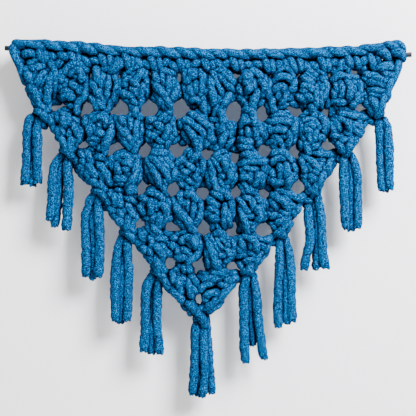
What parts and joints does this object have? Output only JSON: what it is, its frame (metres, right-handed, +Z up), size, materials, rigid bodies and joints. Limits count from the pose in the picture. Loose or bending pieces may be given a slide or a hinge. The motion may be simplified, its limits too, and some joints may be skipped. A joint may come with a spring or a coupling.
{
  "type": "crochet wall hanging on a dowel",
  "caption": "Triangular openwork crochet wall hanging of thick chenille yarn, hung from a thin dowel, with yarn tassels down both slanting edges.",
  "frame": {"origin": "middle of the dowel, on its centreline at its lowest point", "axes": "+X along the dowel, -Y out of the wall towards the room, +Z up"},
  "size_m": [0.5086, 0.0266, 0.4473],
  "materials": {
    "black_painted_wood": "satin",
    "teal_chenille_yarn": "matte"
  },
  "bodies": {
    "root": {"rod": "black_painted_wood", "top_edging": "teal_chenille_yarn", "crochet_panel": "teal_chenille_yarn", "tassel_01": "teal_chenille_yarn", "tassel_02": "teal_chenille_yarn", "tassel_03": "teal_chenille_yarn", "tassel_04": "teal_chenille_yarn", "tassel_05": "teal_chenille_yarn", "tassel_06": "teal_chenille_yarn", "tassel_07": "teal_chenille_yarn", "tassel_08": "teal_chenille_yarn", "tassel_09": "teal_chenille_yarn", "tassel_10": "teal_chenille_yarn", "tassel_11": "teal_chenille_yarn"}
  },
  "joints": []
}
